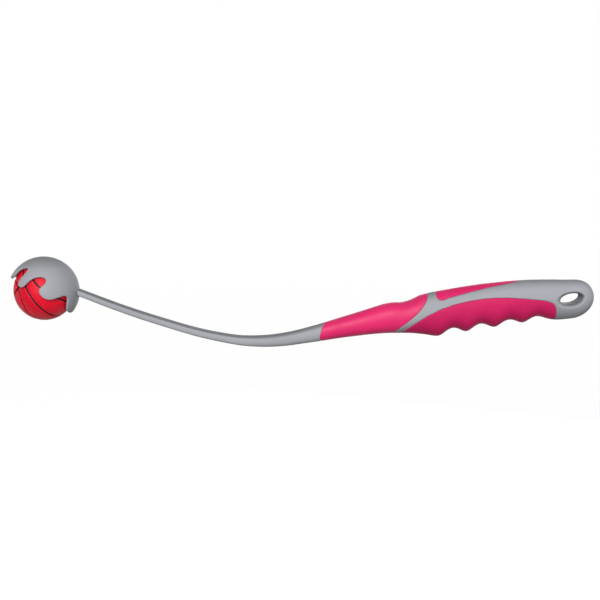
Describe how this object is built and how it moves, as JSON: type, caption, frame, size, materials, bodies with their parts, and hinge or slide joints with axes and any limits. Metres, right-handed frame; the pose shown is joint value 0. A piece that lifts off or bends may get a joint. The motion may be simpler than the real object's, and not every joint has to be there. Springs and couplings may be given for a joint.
{
  "type": "dog ball thrower",
  "caption": "Dog ball thrower: bent springy arm with a fingered ball cup and a releasable rubber ball, soft overmoulded grips, finger grooves and a hanging eye.",
  "frame": {"origin": "middle of the hand grip, in the mirror plane", "axes": "+X from the ball cup to the hanging eye, +Z away from the finger grooves, Y across the mirror plane"},
  "size_m": [0.6124, 0.072, 0.0967],
  "materials": {
    "cup": "satin moulded polypropylene, cool grey",
    "shaft": "satin moulded polypropylene, cool grey",
    "handle": "satin moulded polypropylene, cool grey",
    "grip": "soft-touch matt elastomer, hot pink",
    "ball_cover": "pebbled matt rubber, red",
    "ball_core": "plain matt rubber, nearly black"
  },
  "bodies": {
    "thrower": {"cup": "cup", "shaft": "shaft", "handle_core": "handle", "front_grip": "grip", "thumb_pad": "grip", "finger_grip": "grip"},
    "ball": {"ball_core_half_1": "ball_core", "ball_core_half_2": "ball_core", "ball_panel_1": "ball_cover", "ball_panel_2": "ball_cover", "ball_panel_3": "ball_cover", "ball_panel_4": "ball_cover", "ball_panel_5": "ball_cover", "ball_panel_6": "ball_cover", "ball_panel_7": "ball_cover", "ball_panel_8": "ball_cover"}
  },
  "joints": [
    {"name": "ball_release", "type": "slide", "parent": "thrower", "child": "ball", "axis": [-0.5, 0, -0.866], "range_m": [0, 0.08]}
  ]
}
